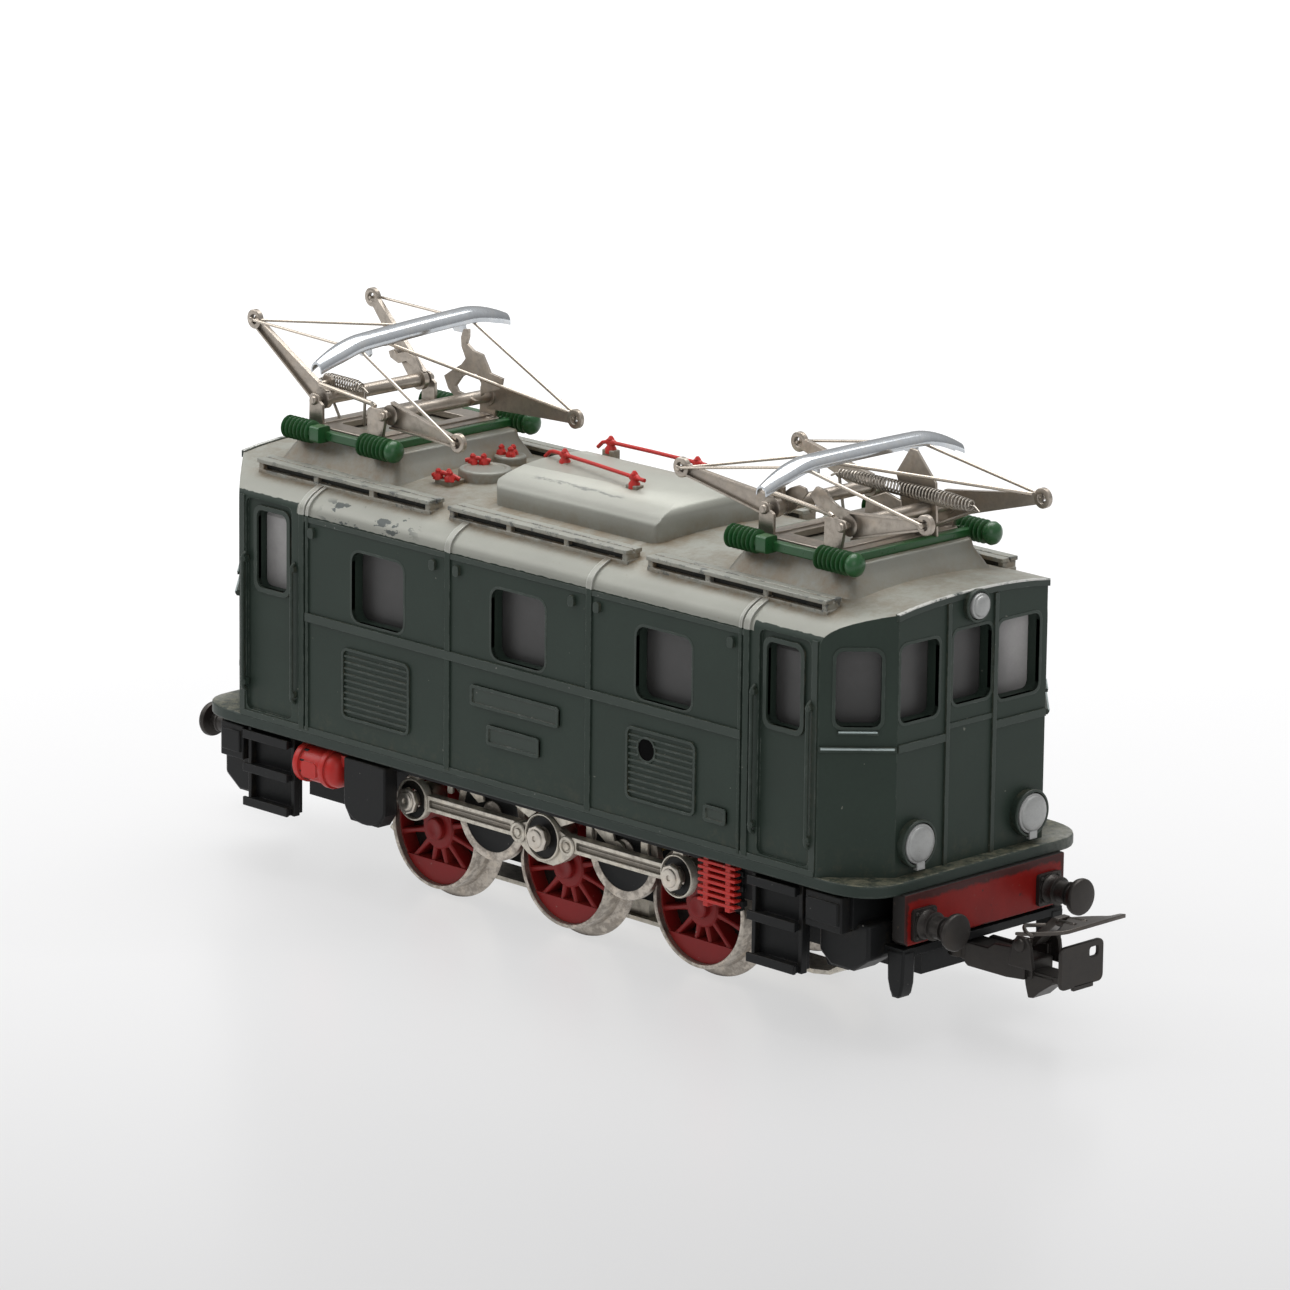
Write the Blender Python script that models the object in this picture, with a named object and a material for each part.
# H0 model electric locomotive with three rod-driven axles and two pantographs.
# +X is the front cab, -Y the near side, +Z up.  All sizes are millimetres and heights are
# measured from the rail top; the scene is in metres, and its base plane z = 0 touches the
# tips of the wheel flanges, FLANGE_DEPTH below the rail top.
import math
from collections import namedtuple

import bmesh
import bpy
from mathutils import Matrix, Vector

for old_object in list(bpy.data.objects):
    bpy.data.objects.remove(old_object, do_unlink=True)

# ----------------------------------------------------------------- driving dimensions
MM = 0.001                      # one millimetre in scene units
FLANGE_DEPTH = 1.43
GAP = 0.30                      # between a piece and the neighbour it sits on
ENDS = {"front": 1, "rear": -1}     # sign along X
SIDES = {"near": -1, "far": 1}      # sign along Y

WHEEL_R = 7.10                  # tread radius
FLANGE_R = WHEEL_R + FLANGE_DEPTH
AXLE_Z = WHEEL_R
WHEELBASE = 21.37               # axle to axle
WHEEL_IN, WHEEL_OUT = 7.00, 10.44
AXLE_R = 1.20
CRANK = 4.22                    # crank radius
PIN_R, PIN_HEAD_R, PIN_OUT = 0.90, 1.95, 15.14
PIN_IN = 8.20                   # bottom of the pin hole in the wheel
ROD_IN, ROD_OUT = 12.35, 13.95

MODULE = 0.50
TEETH_AXLE, TEETH_IDLER, TEETH_MOTOR, TEETH_PINION = 26, 20, 20, 10
GEAR_Y0, GEAR_Y1 = 4.70, 6.20
IDLER_X = WHEELBASE / 2
IDLER_Z = AXLE_Z + math.sqrt(((TEETH_AXLE + TEETH_IDLER) * MODULE / 2) ** 2 - IDLER_X ** 2)
IDLER_SHAFT_R = 1.00
MOTOR_GEAR_Z = AXLE_Z + (TEETH_AXLE + TEETH_MOTOR) * MODULE / 2
ARMATURE_Z = MOTOR_GEAR_Z + (TEETH_MOTOR + TEETH_PINION) * MODULE / 2
ARMATURE_R = 6.90
SHAFT_R = 0.85                  # motor gear and armature shafts

BODY_W = 17.86                  # half width over the sides
WALL = 1.45
CAB_X = 46.50                   # where the sides meet the slanted corners
FRONT_X, FRONT_Y = 52.44, 11.80     # flat centre of the cab front
SKIRT_Z, LIP_Z = 16.00, 17.40   # footplate bottom and top
ROOF_EDGE_Z, ROOF_TOP_Z = 43.00, 47.40
PLATE_X = 54.40                 # footplate end
BEAM_X0, BEAM_X1 = 53.10, 55.00
BEAM_Y, BEAM_Z0 = 12.80, 10.30

BUFFER_X, BUFFER_Y, BUFFER_Z, BUFFER_R = 60.40, 10.00, 12.55, 2.05
BUFFER_SHANK_R = 0.65
COUPLER_PIVOT_X, COUPLER_Z = 52.00, 7.60
COUPLER_POST_R = 0.80
BAIL_X, BAIL_Z = 62.60, 10.20
COUPLER_YAW = {"front": 0.0, "rear": -16.0}    # rest swing, degrees about +Z

PLATFORM = {"rear": (-45.6, -28.2), "front": (26.9, 43.6)}     # x from, x to at the top
PLATFORM_Z, PLATFORM_Y = 48.85, 9.60

# ----------------------------------------------------------------- materials
Look = namedtuple("Look", "color roughness metallic")

ENAMEL = Look(color=(0.035, 0.052, 0.043), roughness=0.42, metallic=0.0)
GLAZING = Look(color=(0.42, 0.43, 0.43), roughness=0.35, metallic=0.0)
CHASSIS_BLACK = Look(color=(0.018, 0.019, 0.020), roughness=0.5, metallic=0.0)
LENS = Look(color=(0.62, 0.62, 0.60), roughness=0.3, metallic=0.0)
BUFFER_BLACK = Look(color=(0.03, 0.028, 0.027), roughness=0.45, metallic=0.6)
WHEEL_METAL = Look(color=(0.45, 0.42, 0.36), roughness=0.35, metallic=0.9)
PIN_METAL = Look(color=(0.5, 0.47, 0.41), roughness=0.35, metallic=0.8)
IDLER_METAL = Look(color=(0.5, 0.47, 0.40), roughness=0.35, metallic=0.8)
BRASS = Look(color=(0.55, 0.40, 0.14), roughness=0.35, metallic=0.9)
ARMATURE_COPPER = Look(color=(0.45, 0.22, 0.10), roughness=0.4, metallic=0.8)
MAGNET_GREY = Look(color=(0.22, 0.22, 0.23), roughness=0.45, metallic=0.9)
COIL_COPPER = Look(color=(0.50, 0.22, 0.09), roughness=0.4, metallic=0.7)
BRUSH_BROWN = Look(color=(0.10, 0.05, 0.03), roughness=0.5, metallic=0.0)
ROD_METAL = Look(color=(0.50, 0.47, 0.42), roughness=0.38, metallic=0.7)
PICKUP_METAL = Look(color=(0.40, 0.37, 0.32), roughness=0.35, metallic=0.9)
COUPLER_BLACK = Look(color=(0.028, 0.026, 0.025), roughness=0.45, metallic=0.6)
BAIL_BLACK = Look(color=(0.06, 0.055, 0.05), roughness=0.4, metallic=0.8)
FRAME_GREEN = Look(color=(0.012, 0.07, 0.022), roughness=0.4, metallic=0.0)
NICKEL = Look(color=(0.42, 0.38, 0.33), roughness=0.32, metallic=0.95)
NICKEL_WIRE = NICKEL._replace(roughness=0.3)
SHOE_METAL = Look(color=(0.60, 0.62, 0.65), roughness=0.15, metallic=1.0)
SPRING_BLACK = Look(color=(0.10, 0.09, 0.08), roughness=0.35, metallic=0.9)


def material(name, look):
    mat = bpy.data.materials.new(name)
    mat.use_nodes = True
    shader = mat.node_tree.nodes["Principled BSDF"]
    shader.inputs["Base Color"].default_value = (*look.color, 1.0)
    shader.inputs["Roughness"].default_value = look.roughness
    shader.inputs["Metallic"].default_value = look.metallic
    mat.diffuse_color = (*look.color, 1.0)
    return mat


# ----------------------------------------------------------------- solids
def to_scene(x, y, z):
    return Vector((x * MM, y * MM, (z + FLANGE_DEPTH) * MM))


def mesh_from(points, faces):
    """A bmesh with outward faces, from points in millimetres above the rail top."""
    solid = bmesh.new()
    verts = [solid.verts.new(to_scene(*point)) for point in points]
    for face in faces:
        solid.faces.new([verts[i] for i in face])
    bmesh.ops.recalc_face_normals(solid, faces=solid.faces)
    return solid


def cap_faces(count, steps):
    """End faces of a solid with steps + 1 rings of count points."""
    return [list(range(count))[::-1], [steps * count + i for i in range(count)]]


def skin_faces(count, steps):
    faces = []
    for k in range(steps):
        low, high = k * count, (k + 1) * count
        for i in range(count):
            j = (i + 1) % count
            faces.append([low + i, low + j, high + j, high + i])
    return faces


def loft(rings):
    """Capped solid through rings that have the same number of points."""
    count, steps = len(rings[0]), len(rings) - 1
    points = [point for ring in rings for point in ring]
    return mesh_from(points, skin_faces(count, steps) + cap_faces(count, steps))


def place(axis, outline, station):
    """Outline points set at a station along the axis."""
    if axis == "x":
        return [(station, a, b) for a, b in outline]
    if axis == "y":
        return [(a, station, b) for a, b in outline]
    return [(a, b, station) for a, b in outline]


def frustum(axis, outline0, start, outline1, stop):
    points = place(axis, outline0, start) + place(axis, outline1, stop)
    count = len(outline0)
    return mesh_from(points, cap_faces(count, 1) + skin_faces(count, 1))


def prism(axis, outline, start, stop):
    return frustum(axis, outline, start, outline, stop)


def box(x0, x1, y0, y1, z0, z1):
    return prism("z", [(x0, y0), (x1, y0), (x1, y1), (x0, y1)], z0, z1)


def circle(a, b, radius, count):
    """Polygon with a flat, not a corner, on the first in-plane axis."""
    angles = [math.pi / count + 2 * math.pi * i / count for i in range(count)]
    return [(a + radius * math.cos(t), b + radius * math.sin(t)) for t in angles]


def cylinder(axis, a, b, radius, start, stop, count):
    return prism(axis, circle(a, b, radius, count), start, stop)


def lathe(axis, a, b, profile, count):
    """Capped solid of revolution; profile rows are (station along the axis, radius)."""
    return loft([place(axis, circle(a, b, radius, count), t) for t, radius in profile])


def wire(start, stop, radius, count):
    """Straight round wire between two points; it must not stand upright."""
    start, stop = Vector(start), Vector(stop)
    direction = (stop - start).normalized()
    across = direction.cross(Vector((0, 0, 1))).normalized()
    other = direction.cross(across).normalized()
    spokes = []
    for i in range(count):
        t = 2 * math.pi * i / count
        spokes.append(across * (radius * math.cos(t)) + other * (radius * math.sin(t)))
    return loft([[end + spoke for spoke in spokes] for end in (start, stop)])


def chamfer_rect(a0, a1, b0, b1, c):
    return [(a0 + c, b0), (a1 - c, b0), (a1, b0 + c), (a1, b1 - c),
            (a1 - c, b1), (a0 + c, b1), (a0, b1 - c), (a0, b0 + c)]


def span(sign, a, b):
    """Interval a..b put on the given side of zero, low value first."""
    return sorted((sign * a, sign * b))


def flip(sign, points):
    """Points with their first coordinate put on the given side of zero."""
    return [(sign * a, b) for a, b in points]


def mirror(solid, axis):
    for vert in solid.verts:
        vert.co[axis] = -vert.co[axis]
    bmesh.ops.reverse_faces(solid, faces=solid.faces)


def to_object(solid, name):
    mesh = bpy.data.meshes.new(name)
    solid.to_mesh(mesh)
    solid.free()
    obj = bpy.data.objects.new(name, mesh)
    bpy.context.scene.collection.objects.link(obj)
    return obj


def boolean(solid, other, operation):
    """EXACT boolean of two bmeshes; both are used up."""
    target, tool = to_object(solid, "work_target"), to_object(other, "work_tool")
    tool.hide_render = True
    modifier = target.modifiers.new("cut", "BOOLEAN")
    modifier.solver = "EXACT"
    modifier.operation = operation
    modifier.object = tool
    bpy.context.view_layer.update()
    depsgraph = bpy.context.evaluated_depsgraph_get()
    mesh = bpy.data.meshes.new_from_object(target.evaluated_get(depsgraph))
    result = bmesh.new()
    result.from_mesh(mesh)
    for obj in (target, tool):
        old_mesh = obj.data
        bpy.data.objects.remove(obj, do_unlink=True)
        bpy.data.meshes.remove(old_mesh)
    bpy.data.meshes.remove(mesh)
    bmesh.ops.remove_doubles(result, verts=result.verts, dist=2e-7)
    bmesh.ops.dissolve_degenerate(result, dist=2e-7, edges=result.edges)
    return result


def join(solid, *parts):
    for part in parts:
        solid = boolean(solid, part, "UNION")
    return solid


def cut(solid, *tools):
    for tool in tools:
        solid = boolean(solid, tool, "DIFFERENCE")
    return solid


def finish(name, solid, look, pivot=(0.0, 0.0, -FLANGE_DEPTH), material_name=None):
    """Named object with its origin on its joint axis, or on the scene origin."""
    bmesh.ops.dissolve_limit(solid, angle_limit=math.radians(0.4),
                             verts=solid.verts, edges=solid.edges)
    bmesh.ops.triangulate(solid, faces=solid.faces)
    origin = to_scene(*pivot)
    bmesh.ops.translate(solid, verts=solid.verts, vec=-origin)
    obj = to_object(solid, name)
    obj.location = origin
    obj.data.materials.append(material(material_name or name + "_finish", look))
    obj.data.shade_smooth()
    obj.data.set_sharp_from_angle(angle=math.radians(35.0))


# ----------------------------------------------------------------- casing
# half roof section: y, z
ROOF_PROFILE = [(BODY_W, ROOF_EDGE_Z), (17.35, 44.20), (16.20, 45.20), (14.20, 46.05),
                (12.00, 46.60), (6.50, 47.20), (0.0, ROOF_TOP_Z)]
# footplate corner from the end round to the side: x, y
FOOT_CORNER = [(PLATE_X, 12.9), (PLATE_X - 0.45, 14.1), (PLATE_X - 1.9, 15.75),
               (PLATE_X - 4.2, 17.1), (CAB_X - 0.5, BODY_W + 0.12)]
ROOF_SEAT_Z = 46.3              # bottom of the small roof fittings, inside the roof
HOOD_Y, HOOD_X0, HOOD_X1, HOOD_Z0 = 9.6, -13.2, 13.4, 45.6
HOOD_SECTION = [(-HOOD_Y, HOOD_Z0), (HOOD_Y, HOOD_Z0), (HOOD_Y - 0.2, 49.1),
                (HOOD_Y - 1.0, 49.9), (5.0, 51.0), (0, 51.4), (-5.0, 51.0),
                (-HOOD_Y + 1.0, 49.9), (-HOOD_Y + 0.2, 49.1)]      # y, z
HOOD_SIDE = [(HOOD_X0, HOOD_Z0), (HOOD_X1, HOOD_Z0), (HOOD_X1 - 0.2, 50.4),
             (HOOD_X1 - 1.2, 52.0), (HOOD_X0 + 0.8, 52.0), (HOOD_X0 + 0.2, 51.0)]     # x, z
HOOD_BAR_Y = 3.4                # two bars along the hood
WALKWAYS = ((-46.3, -17.4), (-14.3, 14.3), (17.4, 44.8))    # x from, x to
SIDE_RIBS = ((-35.7, 0.55), (-11.2, 0.45), (11.2, 0.45), (35.7, 0.55))    # x, half width

SIDE_WINDOWS_X, SIDE_WINDOW_HALF = (-23.0, 0.0, 23.0), 4.3
CAB_WINDOWS_X, CAB_WINDOW_HALF = (-41.0, 41.0), 2.6
# end windows: y from, y to, z from, z to
END_WINDOWS = ((-11.3, -5.4, 34.6, 43.0), (-3.1, 3.1, 35.2, 43.3), (5.4, 11.3, 34.6, 43.0))
CORNER_WINDOW = (-2.35, 2.35, -4.0, 4.0, 34.4, 42.2)      # box before it is turned
# raised side panels: x from, x to, z from, z to, height above the side
SIDE_PANELS = ((-35.0, 35.0, 30.55, 31.55, 0.28), (-28.8, -17.5, 20.3, 28.7, 0.36),
               (17.4, 28.2, 20.3, 28.7, 0.36), (-7.4, 6.8, 26.0, 28.5, 0.33),
               (-4.7, 3.7, 22.0, 24.3, 0.30))
PORTHOLE_X, PORTHOLE_Z, PORTHOLE_R = 20.5, 26.4, 1.25
# lamps: name, y, z, lens radius, housing reach and lens reach beyond it
LAMPS = (("top", 0.0, 45.8, 1.55, 0.75, 0.75), ("near", -9.0, 20.9, 2.35, 1.1, 0.55),
         ("far", 9.0, 20.9, 2.35, 1.1, 0.55))
LENS_SEAT_X = FRONT_X - 0.35


def body_plan(inset=0.0):
    """Plan of the body with its slanted cab corners, moved inwards."""
    corner = inset * 0.62
    side_y, cab_x = BODY_W - inset, CAB_X - corner
    front_x, front_y = FRONT_X - inset, FRONT_Y - corner
    return [(-cab_x, -side_y), (cab_x, -side_y), (front_x, -front_y), (front_x, front_y),
            (cab_x, side_y), (-cab_x, side_y), (-front_x, front_y), (-front_x, -front_y)]


def roof_section(bottom_z, inset=0.0):
    """Cross-section of the body (y, z) from bottom_z up to the roof, moved inwards."""
    right = []
    for i, (y, z) in enumerate(ROOF_PROFILE):
        shift = inset if i < 3 else inset * 0.6
        right.append((y - shift if y > 0 else y, z - inset))
    left = [(-y, z) for y, z in reversed(right[:-1])]
    edge_y = right[0][0]
    return [(-edge_y, bottom_z), (edge_y, bottom_z)] + right + left


def body_block():
    """Solid body with the footplate and the buffer beams in front of and below it."""
    section = prism("x", roof_section(SKIRT_Z + 0.2), -FRONT_X - 1.0, FRONT_X + 1.0)
    block = boolean(section, prism("z", body_plan(), SKIRT_Z, 60.0), "INTERSECT")
    foot = []
    for end, side in ((1, -1), (1, 1), (-1, 1), (-1, -1)):
        corner = FOOT_CORNER if end * side > 0 else FOOT_CORNER[::-1]
        foot += [(end * x, side * y) for x, y in corner]
    beams = [box(*span(end, BEAM_X0, BEAM_X1), -BEAM_Y, BEAM_Y, BEAM_Z0, SKIRT_Z + 0.35)
             for end in (1, -1)]
    return join(block, prism("z", foot, SKIRT_Z, LIP_Z), *beams)


def roof_hood():
    return boolean(prism("x", HOOD_SECTION, HOOD_X0 - 1, HOOD_X1 + 1),
                   prism("y", HOOD_SIDE, -12, 12), "INTERSECT")


def roof_platform(x0, x1):
    """Pantograph platform, spreading towards its foot."""
    foot_x, foot_y = 1.6, 1.5
    y0, y1 = -PLATFORM_Y - foot_y, PLATFORM_Y + foot_y
    base = [(x0 - foot_x, y0), (x1 + foot_x, y0), (x1 + foot_x, y1), (x0 - foot_x, y1)]
    top = [(x0, -PLATFORM_Y), (x1, -PLATFORM_Y), (x1, PLATFORM_Y), (x0, PLATFORM_Y)]
    return frustum("z", base, 45.7, top, PLATFORM_Z)


def walkway(side, x0, x1):
    """Roof walkway with a groove along its outer edge."""
    board = box(x0, x1, *span(side, 12.7, 15.2), 45.2, 47.35)
    return cut(board, box(x0 + 0.5, x1 - 0.5, *span(side, 14.0, 16.0), 46.15, 46.80))


def side_rib(x, half_width):
    """Band standing proud of both sides."""
    section = [(y * 1.012, z + 0.16) for y, z in roof_section(SKIRT_Z + 0.6)]
    return boolean(prism("x", section, x - half_width, x + half_width),
                   box(x - 2, x + 2, -20, 20, LIP_Z + 0.3, 46.4), "INTERSECT")


def roof_parts():
    parts = [roof_hood()]
    for side in (-1, 1):
        y = side * HOOD_BAR_Y
        parts.append(box(-12.4, 7.6, y - 0.45, y + 0.45, 50.6, 51.75))
    parts += [roof_platform(*ends) for ends in PLATFORM.values()]
    parts += [walkway(side, *ends) for side in (-1, 1) for ends in WALKWAYS]
    # a round and a square fitting behind the hood
    parts.append(cylinder("z", -20.6, -2.5, 3.6, ROOF_SEAT_Z, 48.35, 16))
    parts.append(box(-23.8, -21.6, -7.6, -5.6, ROOF_SEAT_Z, 48.0))
    return parts


def body_hollow():
    section = prism("x", roof_section(SKIRT_Z - 9.0, WALL), -FRONT_X, FRONT_X)
    return boolean(section, prism("z", body_plan(WALL), SKIRT_Z - 5.0, 60.0), "INTERSECT")


def corner_window(end, side):
    """Window opening square to a slanted cab corner."""
    tool = box(*CORNER_WINDOW)
    # this tool does not stay at the origin, so it is turned first
    turn = math.atan2(BODY_W - FRONT_Y, CAB_X - FRONT_X)
    bmesh.ops.rotate(tool, verts=tool.verts, cent=(0, 0, 0), matrix=Matrix.Rotation(turn, 3, "Z"))
    middle = ((CAB_X + FRONT_X) / 2 * MM, (BODY_W + FRONT_Y) / 2 * MM, 0)
    bmesh.ops.translate(tool, verts=tool.verts, vec=middle)
    if end < 0:
        mirror(tool, 0)
    if side < 0:
        mirror(tool, 1)
    return tool


def window_tools():
    tools = []
    for side in (-1, 1):
        through = span(side, 14.5, 20.0)
        for x in SIDE_WINDOWS_X:
            opening = chamfer_rect(x - SIDE_WINDOW_HALF, x + SIDE_WINDOW_HALF, 32.0, 40.2, 1.0)
            tools.append(prism("y", opening, *through))
        for x in CAB_WINDOWS_X:
            tools.append(box(x - CAB_WINDOW_HALF, x + CAB_WINDOW_HALF, *through, 33.0, 41.8))
    for end in (-1, 1):
        tools += [box(*span(end, 49.5, 56.0), *window) for window in END_WINDOWS]
        tools += [corner_window(end, side) for side in (-1, 1)]
    return tools


def add_side_panels(shell):
    for side in (-1, 1):
        for x0, x1, z0, z1, proud in SIDE_PANELS:
            across = span(side, BODY_W - 0.3, BODY_W + proud)
            shell = join(shell, box(x0, x1, *across, z0, z1))
        shell = cut(shell, cylinder("y", PORTHOLE_X, PORTHOLE_Z, PORTHOLE_R,
                                    *span(side, 15.0, 19.5), 10))
    return shell


def add_lamp_housings(shell):
    for end in (1, -1):
        for _, y, z, radius, reach, _ in LAMPS:
            housing = span(end, FRONT_X - 0.9, FRONT_X + reach)
            seat = span(end, LENS_SEAT_X, FRONT_X + reach + 1.0)
            shell = join(shell, cylinder("x", y, z, radius + 0.35, *housing, 14))
            shell = cut(shell, cylinder("x", y, z, radius, *seat, 14))
    return shell


def buffer_seats():
    return [cylinder("x", side * BUFFER_Y, BUFFER_Z, BUFFER_SHANK_R + GAP,
                     *span(end, BEAM_X0 - 1.5, BEAM_X1 + 1.0), 8)
            for end in (-1, 1) for side in (-1, 1)]


def build_casing():
    shell = join(body_block(), *roof_parts(), *[side_rib(*rib) for rib in SIDE_RIBS])
    shell = cut(shell, body_hollow(), *window_tools())
    shell = add_side_panels(shell)
    shell = add_lamp_housings(shell)
    shell = cut(shell, *buffer_seats())
    finish("casing", shell, ENAMEL, material_name="casing_enamel")


def build_glazing():
    """One clear liner behind all the windows."""
    outside, thickness = WALL + GAP, 0.7
    liner = cut(prism("z", body_plan(outside), 31.2, 43.2),
                prism("z", body_plan(outside + thickness), 30.0, 45.0))
    roof = prism("x", roof_section(20.0, outside), -60.0, 60.0)
    finish("glazing", boolean(liner, roof, "INTERSECT"), GLAZING, material_name="glazing_clear")


def build_lenses():
    for tag, end in ENDS.items():
        for lamp, y, z, radius, reach, lens_reach in LAMPS:
            tip = FRONT_X + reach + lens_reach
            profile = [(LENS_SEAT_X + GAP, radius - GAP), (tip - 0.55, radius - GAP),
                       (tip - 0.2, radius * 0.72), (tip, radius * 0.30)]
            finish(f"lamp_{tag}_{lamp}", lathe("x", y, z, flip(end, profile), 14), LENS)


# ----------------------------------------------------------------- buffers
# buffer profile: x, radius
BUFFER_PROFILE = [(BEAM_X0 - 0.6, BUFFER_SHANK_R), (BEAM_X1 + GAP, BUFFER_SHANK_R),
                  (BEAM_X1 + GAP, 1.55), (56.9, 1.55), (56.95, 1.22), (58.2, 1.20),
                  (58.25, 1.02), (59.35, 1.02), (59.5, BUFFER_R), (BUFFER_X, BUFFER_R)]
FLANGE_HALF, FLANGE_THICK = 1.75, 0.5       # square flange against the beam


def build_buffers():
    for end_tag, end in ENDS.items():
        for side_tag, side in SIDES.items():
            y = side * BUFFER_Y
            stem = lathe("x", y, BUFFER_Z, flip(end, BUFFER_PROFILE), 10)
            flange = box(*span(end, BEAM_X1 + GAP, BEAM_X1 + GAP + FLANGE_THICK),
                         y - FLANGE_HALF, y + FLANGE_HALF,
                         BUFFER_Z - FLANGE_HALF, BUFFER_Z + FLANGE_HALF)
            finish(f"buffer_{end_tag}_{side_tag}", join(stem, flange), BUFFER_BLACK)


# ----------------------------------------------------------------- chassis
SPINE_Y = 4.10
DECK_TOP = 15.45                # top of the parts hung along the sides
HANGER_Y = 15.52                # inner face of the case and the grid
# end blocks, the front one lower: bottom z, half width
END_BLOCK = {1: (6.8, 14.8), -1: (8.4, 11.0)}
END_BLOCK_X = 44.6, 49.7
# steps: x from, x to, board bottom, tread heights
STEPS = ((36.1, 43.6, 6.0, (6.1, 10.9, 14.9)), (-46.0, -38.2, 6.6, (6.8, 10.9, 14.9)))
STEP_BOXES = ((44.5, 49.6), (-50.3, -46.7))     # x from, x to
TANK_Y, TANK_Z = 15.9, 13.2
TANK_PROFILE = [(-37.4, 1.25), (-36.9, 2.0), (-31.2, 2.0), (-30.7, 1.25)]    # x, radius
# hanging case with a rounded underside: x, z
CASE_OUTLINE = [(-28.9, DECK_TOP), (-28.9, 9.7), (-27.9, 8.2), (-23.3, 8.2), (-22.2, 9.7),
                (-22.2, DECK_TOP)]
# front rail guard: x, z
GUARD_OUTLINE = [(52.6, 9.6), (52.75, 5.8), (53.3, 4.4), (54.2, 4.4), (54.75, 5.8), (54.9, 9.6)]
CROSS_BAR_HALF = {1: 12.7, -1: 8.6}
MOTOR_PLATE_Y = 2.75            # inner face of the motor side plate
MOTOR_PLATE = [(-8.6, 14.8), (8.6, 14.8), (8.6, 31.0), (5.6, 34.3), (-5.6, 34.3),
               (-8.6, 31.0)]    # x, z


def chassis_end(end):
    """Deck at one end and the block below it."""
    deck = box(*span(end, 31.7, 50.3), -15.9, 15.9, 11.9, 15.55)
    bottom, half_y = END_BLOCK[end]
    x0, x1 = span(end, *END_BLOCK_X)
    outline = [(x0, 15.4), (x0, bottom + 2.2), (x0 + 1.0, bottom), (x1 - 1.0, bottom),
               (x1, bottom + 2.2), (x1, 15.4)]
    return [deck, prism("y", outline, -half_y, half_y)]


def steps(side):
    parts = []
    for x0, x1, bottom, treads in STEPS:
        parts.append(box(x0, x1, *span(side, 15.55, 16.15), bottom, DECK_TOP))
        for z in treads:
            parts.append(box(x0 + 0.35, x1 - 0.35, *span(side, 15.8, 17.75), z - 0.38, z + 0.36))
    return parts


def air_tank(side):
    """Tank with its two straps and hanger."""
    y = side * TANK_Y
    straps = [cylinder("x", y, TANK_Z, 2.2, x, x + 0.7, 10) for x in (-36.0, -32.6)]
    return [lathe("x", y, TANK_Z, TANK_PROFILE, 10), *straps,
            box(-35.2, -32.9, y - 0.3, y + 0.3, 14.9, 15.5)]


def resistor_grid(side):
    y0, y1 = span(side, HANGER_Y, 16.5)
    parts = [box(x, x + 0.7, y0, y1, 10.4, DECK_TOP) for x in (28.2, 32.9)]
    for k in range(3):
        z = 11.0 + k * 1.7
        parts.append(box(27.6, 34.1, y0 + 0.12, y1 - 0.12, z, z + 0.62))
    return parts


def chassis_side(side):
    """Everything along one side: edge rail, steps, boxes, tank, case and grid."""
    parts = [box(-48.0, 48.0, *span(side, 15.45, 16.05), 15.0, 15.65)]
    parts += steps(side)
    parts += [box(x0, x1, *span(side, 15.0, 17.1), 11.6, 15.50) for x0, x1 in STEP_BOXES]
    parts += air_tank(side)
    parts.append(prism("y", CASE_OUTLINE, *span(side, HANGER_Y, 17.4)))
    return parts + resistor_grid(side)


def coupler_mount(end):
    """Cross bar and coupler post, with the rail guards at the front."""
    parts = []
    if end > 0:
        parts += [prism("y", GUARD_OUTLINE, *span(side, 11.0, 12.7)) for side in (-1, 1)]
    half_y = CROSS_BAR_HALF[end]
    parts.append(box(*span(end, 49.2, 54.9), -half_y, half_y, 9.05, 9.95))
    parts.append(cylinder("z", end * COUPLER_PIVOT_X, 0.0, COUPLER_POST_R,
                          COUPLER_Z - 1.6, 9.5, 12))
    return parts


def chassis_bores():
    bores = [cylinder("y", 0.0, z, SHAFT_R + GAP, 0.0, 6.0, 16)
             for z in (ARMATURE_Z, MOTOR_GEAR_Z)]
    bores += [cylinder("y", k * WHEELBASE, AXLE_Z, AXLE_R + GAP, -8.0, 8.0, 12)
              for k in (-1, 0, 1)]
    bores += [cylinder("y", k * IDLER_X, IDLER_Z, IDLER_SHAFT_R + GAP, -8.0, 8.0, 12)
              for k in (-1, 1)]
    return bores


def build_chassis():
    parts = [box(-18.0, 18.0, -SPINE_Y + 0.3, SPINE_Y - 0.3, 3.4, 6.0)]
    for end in (1, -1):
        parts += chassis_end(end)
    for side in (-1, 1):
        parts += chassis_side(side)
    for end in (1, -1):
        parts += coupler_mount(end)
    parts.append(prism("y", MOTOR_PLATE, MOTOR_PLATE_Y, SPINE_Y))
    frame = join(box(-49.5, 49.5, -SPINE_Y, SPINE_Y, 4.3, 15.1), *parts)
    motor_space = box(-15.2, 15.2, -9.5, MOTOR_PLATE_Y, 14.2, 40.0)
    pickup_pocket = box(-6.5, 6.5, -2.6, 2.6, 0.0, 5.25)
    frame = cut(frame, *chassis_bores(), motor_space, pickup_pocket)
    finish("chassis", frame, CHASSIS_BLACK, material_name="chassis_black")


# ----------------------------------------------------------------- gears
# place of the axis, tooth count, and the angle of one tooth centre
Gear = namedtuple("Gear", "x z teeth phase")
# one tooth: radius from the pitch circle in modules, angle in tooth pitches
TOOTH = ((-1.10, -0.33), (0.80, -0.115), (0.80, 0.115), (-1.10, 0.33))


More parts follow.
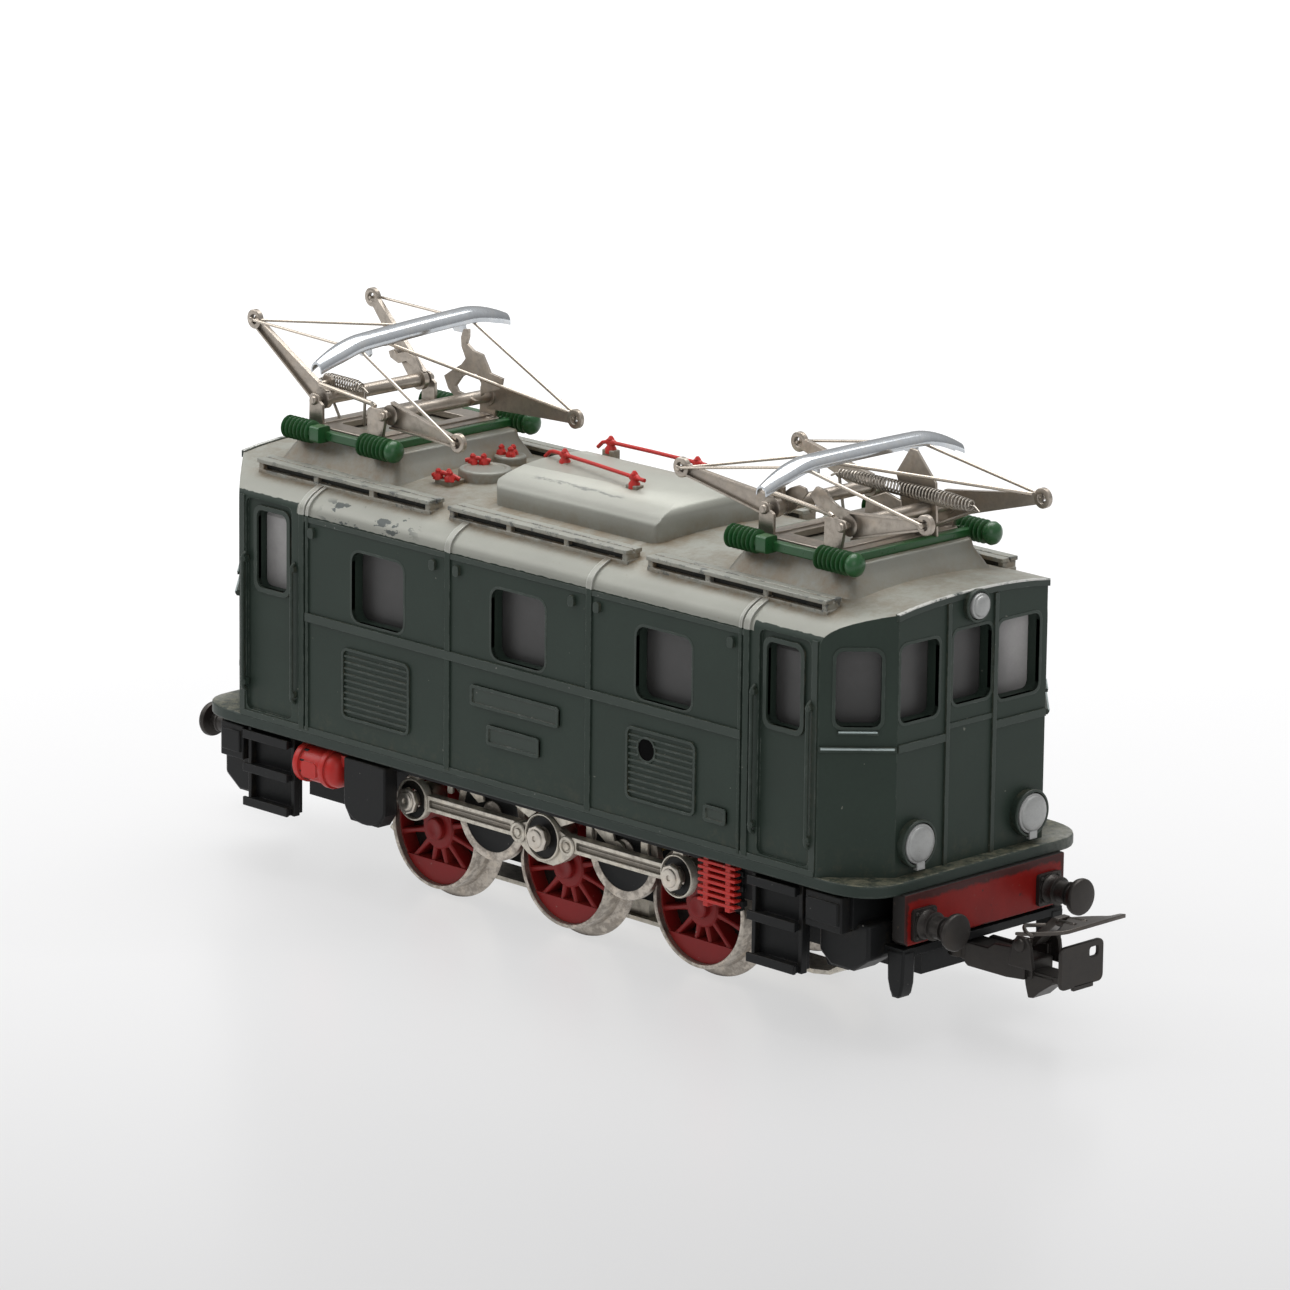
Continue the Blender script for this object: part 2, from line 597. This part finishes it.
def meshed(gear, x, z, teeth):
    """Gear at (x, z) turned so that its teeth mesh with the given gear."""
    bearing = math.atan2(z - gear.z, x - gear.x)
    arc = gear.teeth * MODULE / 2 * (gear.phase - bearing)
    phase = bearing + math.pi + (math.pi * MODULE / 2 - arc) / (teeth * MODULE / 2)
    return Gear(x, z, teeth, phase)


def toothed_disc(gear, y0=GEAR_Y0):
    """Straight-flanked gear with backlash."""
    pitch = 2 * math.pi / gear.teeth
    outline = []
    for k in range(gear.teeth):
        for rise, offset in TOOTH:
            radius = gear.teeth * MODULE / 2 + rise * MODULE
            angle = gear.phase + k * pitch + offset * pitch
            outline.append((gear.x + radius * math.cos(angle), gear.z + radius * math.sin(angle)))
    return prism("y", outline, y0, GEAR_Y1)


MIDDLE_GEAR = Gear(0.0, AXLE_Z, TEETH_AXLE, math.radians(3.0))
IDLER_GEARS = [meshed(MIDDLE_GEAR, k * IDLER_X, IDLER_Z, TEETH_IDLER) for k in (-1, 1)]
AXLE_GEARS = [meshed(IDLER_GEARS[0], -WHEELBASE, AXLE_Z, TEETH_AXLE), MIDDLE_GEAR,
              meshed(IDLER_GEARS[1], WHEELBASE, AXLE_Z, TEETH_AXLE)]
MOTOR_GEAR = meshed(MIDDLE_GEAR, 0.0, MOTOR_GEAR_Z, TEETH_MOTOR)
PINION = meshed(MOTOR_GEAR, 0.0, ARMATURE_Z, TEETH_PINION)


def build_idlers():
    """Idler shafts, each with a gear and a recessed disc at both ends."""
    disc_in, disc_out = 10.85, 11.5
    for number, gear in enumerate(IDLER_GEARS, 1):
        shaft = cylinder("y", gear.x, IDLER_Z, IDLER_SHAFT_R, -disc_out, disc_out, 10)
        for side in (-1, 1):
            shaft = join(shaft, cylinder("y", gear.x, IDLER_Z, 5.45,
                                         *span(side, disc_in, disc_out), 22))
            shaft = cut(shaft, cylinder("y", gear.x, IDLER_Z, 4.55, *span(side, 11.15, 12.0), 18))
        shaft = join(shaft, toothed_disc(gear))
        finish(f"idler_gear_{number}", shaft, IDLER_METAL, (gear.x, 0.0, IDLER_Z))


def build_motor_gear():
    shaft = cylinder("y", 0.0, MOTOR_GEAR_Z, SHAFT_R, 3.1, GEAR_Y1 + 0.6, 14)
    finish("motor_gear", join(shaft, toothed_disc(MOTOR_GEAR)), BRASS, (0.0, 0.0, MOTOR_GEAR_Z))


# ----------------------------------------------------------------- wheels, axles, crank pins
WHEEL_FACETS = 24
# wheel profile: y, radius
WHEEL_PROFILE = [(WHEEL_IN, FLANGE_R - 0.25), (WHEEL_IN + 0.3, FLANGE_R),
                 (WHEEL_IN + 0.95, WHEEL_R + 0.06), (WHEEL_OUT, WHEEL_R)]
DISH_R, DISH_DEPTH, HUB_R = 6.05, 0.7, 2.3
PIN_BOSS_R = 1.75
# crank pin profile: y, radius
PIN_PROFILE = [(PIN_IN + GAP, PIN_R), (WHEEL_OUT + GAP, PIN_R), (WHEEL_OUT + GAP, PIN_BOSS_R),
               (ROD_IN - GAP, PIN_BOSS_R), (ROD_IN - GAP, PIN_R), (ROD_OUT + GAP, PIN_R),
               (ROD_OUT + GAP, PIN_HEAD_R), (PIN_OUT, PIN_HEAD_R - 0.1)]


def crank_offset(side):
    """Crank pin from axle centre (x, z): up on the near side, forward on the far side."""
    return (0.0, CRANK) if side < 0 else (CRANK, 0.0)


def wheel(x, side, pin_x, pin_z):
    # flats lie on the true radii, one of them straight down
    widen = 1 / math.cos(math.pi / WHEEL_FACETS)
    profile = [(side * y, radius * widen) for y, radius in WHEEL_PROFILE]
    disc = lathe("y", x, AXLE_Z, profile, WHEEL_FACETS)
    disc = cut(disc,
               cylinder("y", x, AXLE_Z, AXLE_R + GAP, *span(side, 5.0, 13.0), 12),
               cylinder("y", pin_x, pin_z, PIN_R + GAP * 0.7, *span(side, PIN_IN, 13.0), 10))
    # dished face between hub and tyre, leaving the hub and the pin boss
    dish = cut(cylinder("y", x, AXLE_Z, DISH_R, *span(side, WHEEL_OUT - DISH_DEPTH, 12.0), 20),
               cylinder("y", x, AXLE_Z, HUB_R, *span(side, 9.0, 12.5), 8),
               cylinder("y", pin_x, pin_z, PIN_BOSS_R, *span(side, 9.0, 12.5), 8))
    return cut(disc, dish)


def build_wheelsets():
    for number, gear in enumerate(AXLE_GEARS, 1):
        x = gear.x
        pivot = (x, 0.0, AXLE_Z)
        axle = cylinder("y", x, AXLE_Z, AXLE_R, -WHEEL_OUT - 0.05, WHEEL_OUT + 0.05, 12)
        finish(f"axle_{number}", join(axle, toothed_disc(gear)), WHEEL_METAL, pivot)
        for tag, side in SIDES.items():
            offset_x, offset_z = crank_offset(side)
            pin_x, pin_z = x + offset_x, AXLE_Z + offset_z
            finish(f"wheel_{number}_{tag}", wheel(x, side, pin_x, pin_z), WHEEL_METAL, pivot)
            pin = lathe("y", pin_x, pin_z, flip(side, PIN_PROFILE), 10)
            finish(f"crank_pin_{number}_{tag}", pin, PIN_METAL, pivot)


# ----------------------------------------------------------------- motor
MAGNET_TOP = 35.2
BRUSH_X = 5.2


def build_armature():
    """Three-pole armature with its shaft, pinion and commutator."""
    shaft = cylinder("y", 0.0, ARMATURE_Z, SHAFT_R, -9.6, 4.4, 14)
    shaft = join(shaft, toothed_disc(PINION, 4.35))
    core = cylinder("y", 0.0, ARMATURE_Z, ARMATURE_R, -4.6, 1.6, 24)
    slot_reach, slot_r = 4.6, 1.9
    for k in range(3):
        angle = math.radians(90 + 120 * k) + math.pi / 3
        core = cut(core, cylinder("y", slot_reach * math.cos(angle),
                                  ARMATURE_Z + slot_reach * math.sin(angle),
                                  slot_r, -8.0, 8.0, 8))
    commutator = cylinder("y", 0.0, ARMATURE_Z, 3.4, -6.2, -5.5, 20)
    collar = cylinder("y", 0.0, ARMATURE_Z, 1.6, -6.0, -4.2, 14)
    finish("armature", join(shaft, core, commutator, collar), ARMATURE_COPPER,
           (0.0, 0.0, ARMATURE_Z))


def build_field_magnet():
    magnet = cut(box(-12.6, 12.6, -4.4, 1.4, 14.5, MAGNET_TOP),
                 cylinder("y", 0.0, ARMATURE_Z, ARMATURE_R + 0.45, -9.0, 9.0, 24),
                 box(-6.2, 6.2, -9.0, 9.0, 10.0, 20.0),
                 box(-20.0, -9.9, -9.0, 9.0, 34.0, 40.0),
                 box(9.9, 20.0, -9.0, 9.0, 34.0, 40.0))
    finish("field_magnet", magnet, MAGNET_GREY)


def build_field_coil():
    coil = cut(box(-5.0, 5.0, -6.6, 3.6, MAGNET_TOP + GAP, 41.5),
               box(-4.2, 4.2, -5.8, 1.0, 33.0, 36.4))
    finish("field_coil", coil, COIL_COPPER)


def build_brush_plate():
    plate = prism("y", chamfer_rect(-8.6, 8.6, 16.3, 34.2, 2.0), -8.6, -7.4)
    plate = cut(plate, cylinder("y", 0.0, ARMATURE_Z, SHAFT_R + GAP, -12.0, 0.0, 16))
    # blocks at each brush: half width, y from, y to, half height
    blocks = ((1.1, -7.7, -6.5, 0.9), (0.9, -10.2, -8.3, 0.7))
    for x in (-BRUSH_X, BRUSH_X):
        for half_x, y0, y1, half_z in blocks:
            plate = join(plate, box(x - half_x, x + half_x, y0, y1,
                                    ARMATURE_Z - half_z, ARMATURE_Z + half_z))
    finish("brush_plate", plate, BRUSH_BROWN)


# ----------------------------------------------------------------- coupling rods
ROD_HALF = 1.15                 # half height of the bar
# rod bosses: axle number from the middle one, radius
ROD_BOSSES = ((-1, 3.0), (0, 3.2), (1, 3.0))
# wing above the middle boss, one arm: x from the pin, z from the pin
ROD_WING = [(0.2, 2.0), (1.6, 1.6), (7.9, 4.05), (7.9, 4.65), (0.2, 4.65)]


def build_coupling_rods():
    for tag, side in SIDES.items():
        x, offset_z = crank_offset(side)
        z = AXLE_Z + offset_z
        through = span(side, ROD_IN, ROD_OUT)
        parts = [cylinder("y", x + k * WHEELBASE, z, radius, *through, 16)
                 for k, radius in ROD_BOSSES]
        parts += [cylinder("y", x + k * 3.9, z - 0.2, 1.55, *through, 10) for k in (-1, 1)]
        for k in (-1, 1):
            wing = [(x + k * a, z + b) for a, b in ROD_WING]
            parts.append(prism("y", wing, *span(side, ROD_IN + 0.35, ROD_OUT - 0.45)))
        rod = join(box(x - WHEELBASE, x + WHEELBASE, *span(side, ROD_IN + 0.15, ROD_OUT - 0.25),
                       z - ROD_HALF, z + ROD_HALF), *parts)
        rod = cut(rod, *[cylinder("y", x + k * WHEELBASE, z, PIN_R + GAP,
                                  *span(side, 11.0, 17.0), 10) for k in (-1, 0, 1)])
        # long grooves in the outer face
        for k in (-1, 1):
            x0, x1 = sorted((x + k * 6.2, x + k * 17.6))
            rod = cut(rod, box(x0, x1, *span(side, ROD_OUT - 0.62, 15.0), z - 0.5, z + 0.5))
        rod_y = (ROD_IN + ROD_OUT) / 2
        finish("coupling_rod_" + tag, rod, ROD_METAL, (x, side * rod_y, z))


# ----------------------------------------------------------------- pickup shoe
# lengthwise outline, underside then top: x, z
PICKUP_OUTLINE = [(-37.6, 2.4), (-34.0, 0.35), (-31.5, -0.05), (31.5, -0.05), (34.0, 0.35),
                  (37.6, 2.4), (37.3, 2.85), (33.8, 0.8), (31.3, 0.45), (-31.3, 0.45),
                  (-33.8, 0.8), (-37.3, 2.85)]


def build_pickup_shoe():
    ski = join(prism("y", PICKUP_OUTLINE, -2.2, 2.2), box(-4.6, 4.6, -1.3, 1.3, 0.2, 4.0))
    finish("pickup_shoe", ski, PICKUP_METAL, (0.0, 0.0, 2.0))


# ----------------------------------------------------------------- couplers
# coupler outlines: x, z
CHEEK = [(53.8, COUPLER_Z - 1.65), (62.6, COUPLER_Z - 1.65), (62.6, COUPLER_Z + 1.9),
         (58.2, COUPLER_Z + 1.9), (57.4, COUPLER_Z + 1.2), (53.8, COUPLER_Z + 1.2)]
BAIL_EAR = [(60.9, COUPLER_Z), (64.3, COUPLER_Z), (63.5, BAIL_Z + 0.9), (61.7, BAIL_Z + 0.9)]
CHIN = [(62.4, COUPLER_Z - 0.9), (66.2, COUPLER_Z - 0.9), (64.2, COUPLER_Z - 2.6),
        (63.2, COUPLER_Z - 3.4)]
BAIL_STEM = [(62.4, BAIL_Z - 0.25), (63.0, BAIL_Z - 0.25), (66.6, 13.25), (66.6, 13.65),
             (65.9, 13.65), (62.4, BAIL_Z + 0.25)]
# bow of the bail from above: x, y
BAIL_BOW = [(65.3, -2.4), (66.9, -5.2), (68.6, -7.5), (69.1, -7.5), (68.9, -4.6), (70.3, -1.6),
            (70.3, 1.6), (68.9, 4.6), (69.1, 7.5), (68.6, 7.5), (66.9, 5.2), (65.3, 2.4)]


def swing(solid, tag):
    """Swing a coupler piece about its pivot post."""
    centre = (ENDS[tag] * COUPLER_PIVOT_X * MM, 0.0, 0.0)
    turn = Matrix.Rotation(math.radians(COUPLER_YAW[tag]), 3, "Z")
    bmesh.ops.rotate(solid, verts=solid.verts, cent=centre, matrix=turn)
    return solid


def build_coupler(tag):
    end = ENDS[tag]
    parts = []
    for side in (-1, 1):
        parts.append(prism("y", flip(end, CHEEK), *span(side, 1.55, 2.2)))
        parts.append(prism("y", flip(end, BAIL_EAR), *span(side, 2.05, 2.6)))
    parts.append(prism("y", flip(end, CHIN), -1.5, 1.5))
    parts.append(box(*span(end, 63.0, 69.6), -1.4, 1.4, COUPLER_Z - 1.2, COUPLER_Z - 0.3))
    face = chamfer_rect(-3.8, 3.8, COUPLER_Z - 1.9, COUPLER_Z + 3.1, 0.8)
    parts.append(prism("x", face, *span(end, 69.1, 69.8)))
    bar = box(*span(end, COUPLER_PIVOT_X - 1.6, 63.8), -1.8, 1.8,
              COUPLER_Z - 1.4, COUPLER_Z + 1.0)
    pivot_x = end * COUPLER_PIVOT_X
    body = cut(join(bar, *parts),
               box(*span(end, 68.0, 71.0), 1.4, 2.8, COUPLER_Z + 1.3, COUPLER_Z + 2.2),
               cylinder("z", pivot_x, 0.0, COUPLER_POST_R + GAP, 0.0, 20.0, 12),
               cylinder("y", end * BAIL_X, BAIL_Z, 0.70, -5.0, 5.0, 8))
    finish("coupler_" + tag, swing(body, tag), COUPLER_BLACK, (pivot_x, 0.0, COUPLER_Z))


def build_bail(tag):
    end = ENDS[tag]
    bail = join(cylinder("y", end * BAIL_X, BAIL_Z, 0.42, -2.9, 2.9, 8),
                prism("y", flip(end, BAIL_STEM), -0.9, 0.9),
                prism("z", flip(end, BAIL_BOW), 13.2, 13.7))
    turn, reach = math.radians(COUPLER_YAW[tag]), end * (BAIL_X - COUPLER_PIVOT_X)
    pivot = (end * COUPLER_PIVOT_X + reach * math.cos(turn), reach * math.sin(turn), BAIL_Z)
    finish("coupler_bail_" + tag, swing(bail, tag), BAIL_BLACK, pivot)


# ----------------------------------------------------------------- pantographs
PANTO_X = {"rear": -37.4, "front": 35.3}      # centre of each pantograph base
PANTO_Z = 53.80                 # height of the lower pivots
PIVOT_HALF = 5.80               # lower pivots, half spacing along X
SHOE_PIVOT_HALF = 0.55          # shoe pivots, half spacing along X
LOWER_ARM = 12.80
UPPER_ARM = LOWER_ARM + PIVOT_HALF - SHOE_PIVOT_HALF
ARM_Y0, ARM_Y1 = 7.60, 9.30     # lower arm sides at the pivot and at the knee
# lower arm angles above horizontal at rest: rear arm, front arm
PANTO_REST = {"rear": (39.0, -4.0), "front": (11.5, 11.5)}
INS_X, INS_Y, INS_Z, INS_R = 6.80, 10.90, 50.60, 1.35      # insulators
FRAME_TOP = INS_Z + 0.45
BASE_Z = FRAME_TOP + GAP
HORN_Y = {"rear": 4.4, "front": 5.6}      # horn centre on each lower arm
SPRING_Y, SPRING_Z = (HORN_Y["rear"] + HORN_Y["front"]) / 2, PANTO_Z + 2.1
SPRING_TURNS = 10
LINK_RISE = 1.85                # link hole above the rear pivot
LUG_Y = -7.10, -6.60            # lugs beside the link
WIRE_Y = 9.3                    # upper arm wires at the shoe
SHOE_L, SHOE_TOP = 31.4, 1.60   # shoe length, and its top above its pivots
# stations along the shoe: y, height from the top, half width
SHOE_STATIONS = ((-SHOE_L / 2, -2.6, 0.95), (-13.6, -0.9, 1.45), (-10.6, 0.0, 1.75),
                 (0.0, 0.22, 1.75), (10.6, 0.0, 1.75), (13.6, -0.9, 1.45),
                 (SHOE_L / 2, -2.6, 0.95))


def pantograph_joints(tag):
    """Pivot, knee and shoe pivot (x, z) of the rear and the front arm pair at rest."""
    centre = PANTO_X[tag]
    rear, front = (math.radians(angle) for angle in PANTO_REST[tag])
    rear_x, front_x = centre - PIVOT_HALF, centre + PIVOT_HALF
    rear_knee = (rear_x - LOWER_ARM * math.cos(rear), PANTO_Z + LOWER_ARM * math.sin(rear))
    front_knee = (front_x + LOWER_ARM * math.cos(front), PANTO_Z + LOWER_ARM * math.sin(front))
    # move the front knee back by the shoe pivot spacing, then intersect the two upper arms
    dx = front_knee[0] - 2 * SHOE_PIVOT_HALF - rear_knee[0]
    dz = front_knee[1] - rear_knee[1]
    distance = math.hypot(dx, dz)
    rise = math.sqrt(UPPER_ARM ** 2 - distance ** 2 / 4)
    x = rear_knee[0] + dx / 2 - dz / distance * rise
    z = rear_knee[1] + dz / 2 + dx / distance * rise
    return {"rear": ((rear_x, PANTO_Z), rear_knee, (x, z)),
            "front": ((front_x, PANTO_Z), front_knee, (x + 2 * SHOE_PIVOT_HALF, z))}


def along(start, stop, fraction, offset=0.0):
    """Point part of the way from start to stop, offset square to the line."""
    dx, dz = stop[0] - start[0], stop[1] - start[1]
    length = math.hypot(dx, dz)
    return (start[0] + dx * fraction - dz / length * offset,
            start[1] + dz * fraction + dx / length * offset)


def arm_plate(pivot, knee, side):
    """Flat tapering bar from pivot to knee, spreading from ARM_Y0 to ARM_Y1."""
    pivot_half, knee_half, thickness = 1.15, 0.62, 0.50
    corners = ((along(pivot, knee, -0.02, pivot_half), ARM_Y0),
               (along(pivot, knee, -0.02, -pivot_half), ARM_Y0),
               (along(pivot, knee, 1.0, -knee_half), ARM_Y1),
               (along(pivot, knee, 1.0, knee_half), ARM_Y1))
    points = []
    for (x, z), y in corners:
        points += [(x, side * y - thickness / 2, z), (x, side * y + thickness / 2, z)]
    return mesh_from(points, [[0, 2, 4, 6], [1, 7, 5, 3], [0, 1, 3, 2], [2, 3, 5, 4],
                              [4, 5, 7, 6], [6, 7, 1, 0]])


def panto_frame(centre):
    """Insulator frame: two cross bars, two side bars and four ribbed insulators."""
    bars = [box(x - 0.6, x + 0.6, -INS_Y, INS_Y, PLATFORM_Z + GAP, FRAME_TOP)
            for x in (centre - INS_X, centre + INS_X)]
    frame = join(*bars)
    for side in (-1, 1):
        y = side * 10.2
        frame = join(frame, box(centre - INS_X, centre + INS_X, y - 0.55, y + 0.55,
                                INS_Z - 0.75, INS_Z + 0.4))
        for end in (-1, 1):
            profile = []
            for k in range(4):
                x = centre + end * INS_X - 2.5 + k * 1.35
                profile += [(x, INS_R - 0.30), (x + 0.7, INS_R)]
            frame = join(frame, lathe("x", side * INS_Y, INS_Z, profile, 8))
    return frame


def panto_base(centre):
    """Open base plate with four pivot ears."""
    base = cut(box(centre - 7.3, centre + 7.3, -9.3, 9.3, BASE_Z, BASE_Z + 0.5),
               box(centre - 4.4, centre + 4.4, -6.2, 6.2, BASE_Z - 1, BASE_Z + 2))
    for x in (centre - PIVOT_HALF, centre + PIVOT_HALF):
        ear = [(x - 1.3, BASE_Z + 0.2), (x + 1.3, BASE_Z + 0.2), (x + 0.9, PANTO_Z + 0.8),
               (x - 0.9, PANTO_Z + 0.8)]
        for side in (-1, 1):
            base = join(base, prism("y", ear, *span(side, 8.7, 9.2)))
            base = cut(base, cylinder("y", x, PANTO_Z, 0.60, *span(side, 8.0, 10.0), 8))
    return base


def lug(x, z, half_width, rise):
    outline = [(x - 0.7, z), (x + 0.7, z), (x + half_width, z + rise), (x - half_width, z + rise)]
    return prism("y", outline, *LUG_Y)


def lower_arm(end_tag, pivot, knee):
    """Cross shaft, two tapering side bars with ring knees, a horn and a link lug."""
    x, z = pivot
    arm = join(cylinder("y", x, z, 0.38, -9.6, 9.6, 8),
               cylinder("y", x, z, 0.8, -ARM_Y0 - 0.3, ARM_Y0 + 0.3, 8))
    for side in (-1, 1):
        arm = join(arm, arm_plate(pivot, knee, side),
                   cylinder("y", *knee, 1.1, *span(side, ARM_Y1 - 0.3, ARM_Y1 + 0.3), 10))
    tip_x, horn_y = x - ENDS[end_tag] * 0.3, HORN_Y[end_tag]
    horn = [(x - 0.9, z), (x + 0.9, z), (tip_x + 0.5, z + 2.6), (tip_x - 0.5, z + 2.6)]
    arm = join(arm, prism("y", horn, horn_y - 0.25, horn_y + 0.25))
    for side in (-1, 1):
        arm = cut(arm, cylinder("y", *knee, 0.55, *span(side, 8.0, 11.0), 8))
    if end_tag == "rear":
        arm = join(arm, lug(x, z, 0.75, 2.55))
        return cut(arm, cylinder("y", x, z + LINK_RISE, 0.45, -7.25, -6.0, 8))
    return join(arm, lug(x, z, 0.55, -1.25))


def panto_link(x0, x1):
    """Bar from the rear lug towards the front pivot, with its hooked end wire."""
    z0, z1 = PANTO_Z + LINK_RISE, PANTO_Z + 0.15
    bar = [(x0 - 0.5, z0 - 0.42), (x1 - 1.6, z1 + 0.55), (x1 - 1.6, z1 + 1.25),
           (x0 - 0.5, z0 + 0.42)]
    return join(wire((x0, -6.35, z0), (x0, -8.15, z0), 0.22, 6), prism("y", bar, -8.33, -7.98))


def upper_arm(knee, shoe_pivot):
    """Wire frame with a hinge wire under the shoe."""
    x, z = shoe_pivot
    arm = wire((x, -WIRE_Y - 0.4, z), (x, WIRE_Y + 0.4, z), 0.26, 6)
    brace = along(knee, shoe_pivot, 0.10)
    for side in (-1, 1):
        y = side * (ARM_Y1 + 0.62)
        arm = join(
            arm,
            wire((knee[0], side * (ARM_Y1 - 0.55), knee[1]),
                 (knee[0], y + side * 0.24, knee[1]), 0.27, 6),
            wire((knee[0], y, knee[1]), (x, side * WIRE_Y, z), 0.24, 6),
            wire((brace[0], y - side * 0.06, brace[1]), (x, side * 1.3, z - 0.03), 0.19, 5))
    return arm


def contact_shoe(x, z):
    """Channel pressing with drooped ends and two hinge tabs."""
    top = z + SHOE_TOP
    rings = []
    for y, drop, half in SHOE_STATIONS:
        flat = half * 0.72
        low, high, inside = top + drop - 0.95, top + drop - 0.1, top + drop - 0.5
        section = [(-half, low), (-flat, high), (flat, high), (half, low), (half - 0.42, low),
                   (flat - 0.3, inside), (0.3 - flat, inside), (0.42 - half, low)]
        rings.append([(x + a, y, b) for a, b in section])
    shoe = loft(rings)
    outline = [(x - 1.45, z - 0.8), (x + 1.45, z - 0.8), (x + 1.2, top - 0.3),
               (x - 1.2, top - 0.3)]
    for side in (-1, 1):
        holes = [cylinder("y", x + k * SHOE_PIVOT_HALF, z, 0.52, *span(side, 7.0, 9.0), 8)
                 for k in (-1, 1)]
        shoe = join(shoe, cut(prism("y", outline, *span(side, 7.55, 8.05)), *holes))
    return shoe


def tension_spring(x0, x1):
    """Ribbed rod between the two horns, with a thin tail at each end."""
    pitch = (x1 - x0) / SPRING_TURNS
    profile = [(x0 - 0.9, 0.22), (x0, 0.22)]
    for k in range(SPRING_TURNS):
        x = x0 + pitch * k
        profile += [(x + 0.15 * pitch, 0.45), (x + 0.60 * pitch, 0.72)]
    profile += [(x1, 0.22), (x1 + 0.9, 0.22)]
    return lathe("x", SPRING_Y, SPRING_Z, profile, 6)


def build_pantograph(tag):
    centre, prefix = PANTO_X[tag], f"panto_{tag}_"
    joints = pantograph_joints(tag)
    finish(prefix + "frame", panto_frame(centre), FRAME_GREEN)
    finish(prefix + "base", panto_base(centre), NICKEL)
    for end_tag, (pivot, knee, shoe_pivot) in joints.items():
        finish(prefix + "lower_" + end_tag, lower_arm(end_tag, pivot, knee), NICKEL,
               (pivot[0], 0.0, pivot[1]))
        finish(prefix + "upper_" + end_tag, upper_arm(knee, shoe_pivot), NICKEL_WIRE,
               (knee[0], 0.0, knee[1]))
    x0, x1 = joints["rear"][0][0], joints["front"][0][0]
    finish(prefix + "link", panto_link(x0, x1), NICKEL_WIRE, (x0, 0.0, PANTO_Z + LINK_RISE))
    shoe_x, shoe_z = joints["rear"][2]
    shoe_x += SHOE_PIVOT_HALF
    finish(prefix + "shoe", contact_shoe(shoe_x, shoe_z), SHOE_METAL, (shoe_x, 0.0, shoe_z))
    finish(prefix + "spring", tension_spring(x0 + 1.6, x1 - 1.6), SPRING_BLACK,
           (centre, SPRING_Y, SPRING_Z))


# ----------------------------------------------------------------- build
build_casing()
build_glazing()
build_lenses()
build_buffers()
build_chassis()
build_wheelsets()
build_idlers()
build_motor_gear()
build_armature()
build_field_magnet()
build_field_coil()
build_brush_plate()
build_coupling_rods()
build_pickup_shoe()
for coupler_tag in ENDS:
    build_coupler(coupler_tag)
build_bail("front")             # the rear coupler has lost its bow
for panto_tag in PANTO_X:
    build_pantograph(panto_tag)
